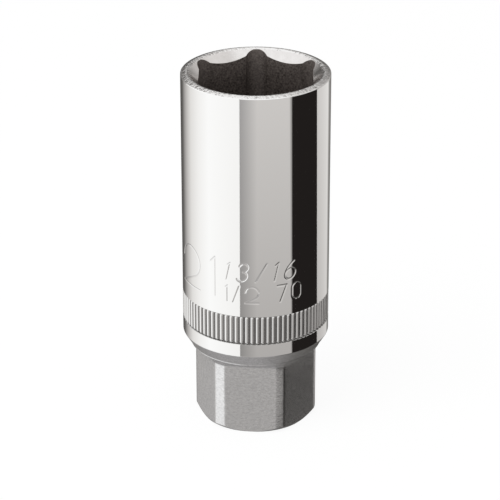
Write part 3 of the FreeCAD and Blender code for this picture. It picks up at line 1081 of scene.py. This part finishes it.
# For each sheet, the heights of its levels in degrees above the horizon, and then the papers that it is
# made of, from the lowest level to the highest, at each direction from the camera in degrees. An edge
# that leans has a direction for each level.
SHEETS = {
    "white_wall": (
        (FOOT, -6),
        {
            -180: "coal coal",
            -150: "slate dusk",
            -134: "silver silver",
            -118: "pale pale",
            -98: "milk milk",
            -77: "white white",
            -24.5: "milk white",
        },
    ),
    "grey_wall": (
        (FOOT, TOP, 20),
        {
            -24.5: "stone grey silver",
            2: "ash light light",
            (58.6, 51.5, 51.5): "ash light light",
            (59.8, 55.8, 55.8): "stone stone stone",
            (60.4, 56.9, 58): "black black black",
        },
    ),
    "black_wall": (
        (FOOT, TOP, 6),
        {(60.4, 56.9, 58): "black black black", (115.5, 106.6, 106): "black black black"},
    ),
    "pale_wall": (
        (FOOT, TOP, -8),
        {
            (115.5, 106.6, 106.6): "silver light light",
            (151, 145, 145): "light pale silver",
            (157, 151, 152): "stone stone stone",
            180: "slate slate dusk",
        },
    ),
    # The two lower sheets are painted shade: grey paper that stands for the white floor in the socket's
    # shade, which the metal doesn't see itself.
    "floor_shade_left": (
        (-89.5, -56, FOOT),
        {
            -180: "grey stone stone",
            -160: "grey stone stone",
            -134: "grey grey grey",
            -118: "grey grey pale",
            -98: "grey grey white",
            -36: "grey grey white",
            -24.5: "grey grey milk",
        },
    ),
    "floor_shade_right": (
        (-89.5, -56, FOOT),
        {
            -24.5: "grey grey silver",
            0: "grey grey silver",
            30: "grey grey grey",
            42: "grey stone coal",
            60: "grey stone coal",
            98: "grey slate coal",
            108: "grey slate slate",
            138: "grey slate slate",
            160: "grey dusk dusk",
            180: "grey stone coal",
        },
    ),
    "far_left": (
        (-6, 16, 30, 45),
        {
            -180: "dusk coal milk white",
            -170: "slate coal light milk",
            -160: "stone coal dusk pale",
            -150: "stone dusk stone pale",
            -125: "stone grey light milk",
        },
    ),
    "far_right": (
        (-8, 10, 30, 45, 66),
        {
            106: "coal grey light milk milk",
            142: "stone light light light light",
            158: "stone stone stone grey light",
            168: "slate slate stone light pale",
            180: "dusk coal milk white white",
        },
    ),
    "side_sky": ((6, 66), {58: "light light", 106: "light milk"}),
}
print(len(PAPERS), "papers in", len(SHEETS), "sheets")

# %% Paper round the socket
TENT_R = 1.2
STEPS = 12  # faces between one paper and the next


def between(values, places):
    """The values at whole places, in even steps from one to the next at the places between them."""
    low = np.minimum(places.astype(int), len(values) - 2)
    share = (places - low).reshape([-1] + [1] * (values.ndim - 1))
    return values[low] * (1 - share) + values[low + 1] * share


def sheet(name, heights, tones):
    """A patch of a sphere, from the first direction to the last and from the lowest height to the highest.
    Colours change evenly from one paper to the next."""
    up, along = (
        np.linspace(0, len(stops) - 1, STEPS * (len(stops) - 1) + 1) for stops in (heights, tones)
    )
    shades = np.array([[linear(PAPERS[paper]) for paper in papers.split()] for papers in tones.values()])
    directions = np.array([np.broadcast_to(direction, len(heights)) for direction in tones], float)
    colour = between(between(shades, along).swapaxes(0, 1), up)
    turn = np.radians(between(between(directions, along).T, up)) + AZIMUTH
    height = np.radians(between(np.array(heights, float), up))[:, None]
    points = TENT_R * np.stack(
        [np.sin(turn) * np.cos(height), -np.cos(turn) * np.cos(height), np.sin(height) + 0 * turn], axis=-1
    )
    corner = (np.arange(len(up) - 1)[:, None] * len(along) + np.arange(len(along) - 1)).reshape(-1, 1)
    faces = corner + [0, 1, len(along) + 1, len(along)]
    mesh = bpy.data.meshes.new(name)
    mesh.from_pydata(points.reshape(-1, 3).tolist(), [], faces.tolist())
    tint = mesh.attributes.new("tone", "FLOAT_COLOR", "POINT")
    tint.data.foreach_set("color", colour.reshape(-1).astype(np.float32))
    return add_piece(name, mesh)


print("halfway between 1 and 2:", between(np.array([1.0, 2.0]), np.array([0.5])))


# %% Lit paper
def lit_paper(tree):
    """Paper that glows with the tones that are kept with its mesh."""
    tone = node(tree, "Attribute", {"attribute_name": "tone"})
    return node(tree, "Emission", {"Strength": 1.0}, {"Color": tone.outputs["Color"]})


paper = new_material(lit_paper)
paper.cycles.emission_sampling = "NONE"

for name, (heights, tones) in SHEETS.items():
    hung = sheet(name, heights, tones)
    hung.data.materials.append(paper)
    for kind in ("camera", "diffuse", "transmission", "volume_scatter", "shadow"):
        setattr(hung, "visible_" + kind, False)
print(len(SHEETS), "sheets of paper hung")

# %% [markdown]
# ## Floor and white surroundings
#
# The socket stands on white paper. Most of the paper's brightness is a glow that only the camera sees, so
# that it comes out white, and the rest is ordinary lit paper, which keeps the socket's soft shadow. The
# world round everything is white to the camera and in the metal, and a plain soft light to the rest.


# %% The floor
FLOOR_HALF = 4.0
GLOW_SHARE = 0.9


def white_paper(tree):
    """Nearly all glow where the camera sees it, also through glass, and ordinary lit paper elsewhere."""
    ray = node(tree, "LightPath")
    seen = node(
        tree,
        "Math",
        {"operation": "MAXIMUM"},
        {0: ray.outputs["Is Camera Ray"], 1: ray.outputs["Is Transmission Ray"]},
    )
    share = node(tree, "Math", {"operation": "MULTIPLY", 1: GLOW_SHARE}, {0: seen.outputs[0]})
    lit = node(tree, "BsdfDiffuse", {"Color": linear("#FFFFFF")})
    glow = node(tree, "Emission", {"Strength": 1.0})
    return node(tree, "MixShader", {}, {0: share.outputs[0], 1: lit.outputs[0], 2: glow.outputs[0]})


floor_mesh = bpy.data.meshes.new("floor")
floor_mesh.from_pydata(
    [(x * FLOOR_HALF, y * FLOOR_HALF, 0) for x, y in ((-1, -1), (1, -1), (1, 1), (-1, 1))],
    [],
    [(0, 1, 2, 3)],
)
floor = add_piece("floor", floor_mesh)
floor_mesh.materials.append(new_material(white_paper))
floor.visible_glossy = False
print("floor", 2 * FLOOR_HALF, "m wide")

# %% The world
SOFT_LIGHT = 0.8
world = bpy.data.worlds.new("white_studio")
bpy.context.scene.world = world
world.use_nodes = True
tree = world.node_tree
tree.nodes.clear()
ray = node(tree, "LightPath")
direct = node(
    tree,
    "Math",
    {"operation": "MAXIMUM"},
    {0: ray.outputs["Is Camera Ray"], 1: ray.outputs["Is Glossy Ray"]},
)
seen = node(
    tree,
    "Math",
    {"operation": "MAXIMUM"},
    {0: direct.outputs[0], 1: ray.outputs["Is Transmission Ray"]},
)
white = node(tree, "Background", {"Color": linear("#FFFFFF"), "Strength": 1.0})
soft = node(tree, "Background", {"Color": linear("#FFFFFF"), "Strength": SOFT_LIGHT})
choose = node(tree, "MixShader", {}, {0: seen.outputs[0], 1: soft.outputs[0], 2: white.outputs[0]})
node(tree, "OutputWorld", {}, {"Surface": choose.outputs[0]})
print("the world lights the socket at", SOFT_LIGHT)

# %% [markdown]
# ## A lamp
#
# One soft box hangs in front of the socket, above it and to its left. It gives the socket its shadow on
# the floor, and the dull steel and the magnet a little light from one side. The chrome and the brass
# don't mirror it, because they have the papers.

# %% The soft box
SOFTBOX_SIZE = 0.6
SOFTBOX_WATTS = 3.5

box_light = bpy.data.lights.new("softbox", "AREA")
box_light.shape = "SQUARE"
box_light.size = SOFTBOX_SIZE
box_light.energy = SOFTBOX_WATTS
softbox = bpy.data.objects.new("softbox", box_light)
softbox.location = (-0.4, -0.4, 0.8)
softbox.rotation_euler = (math.radians(35), 0, math.radians(-45))  # so that it faces the socket
softbox.visible_glossy = False
bpy.context.scene.collection.objects.link(softbox)
print(f"soft box: {SOFTBOX_SIZE} m wide, {SOFTBOX_WATTS} W")

# %% [markdown]
# ## Finish
#
# The Standard view shows each colour as it was given.

# %% Finish
bpy.context.scene.view_settings.view_transform = "Standard"
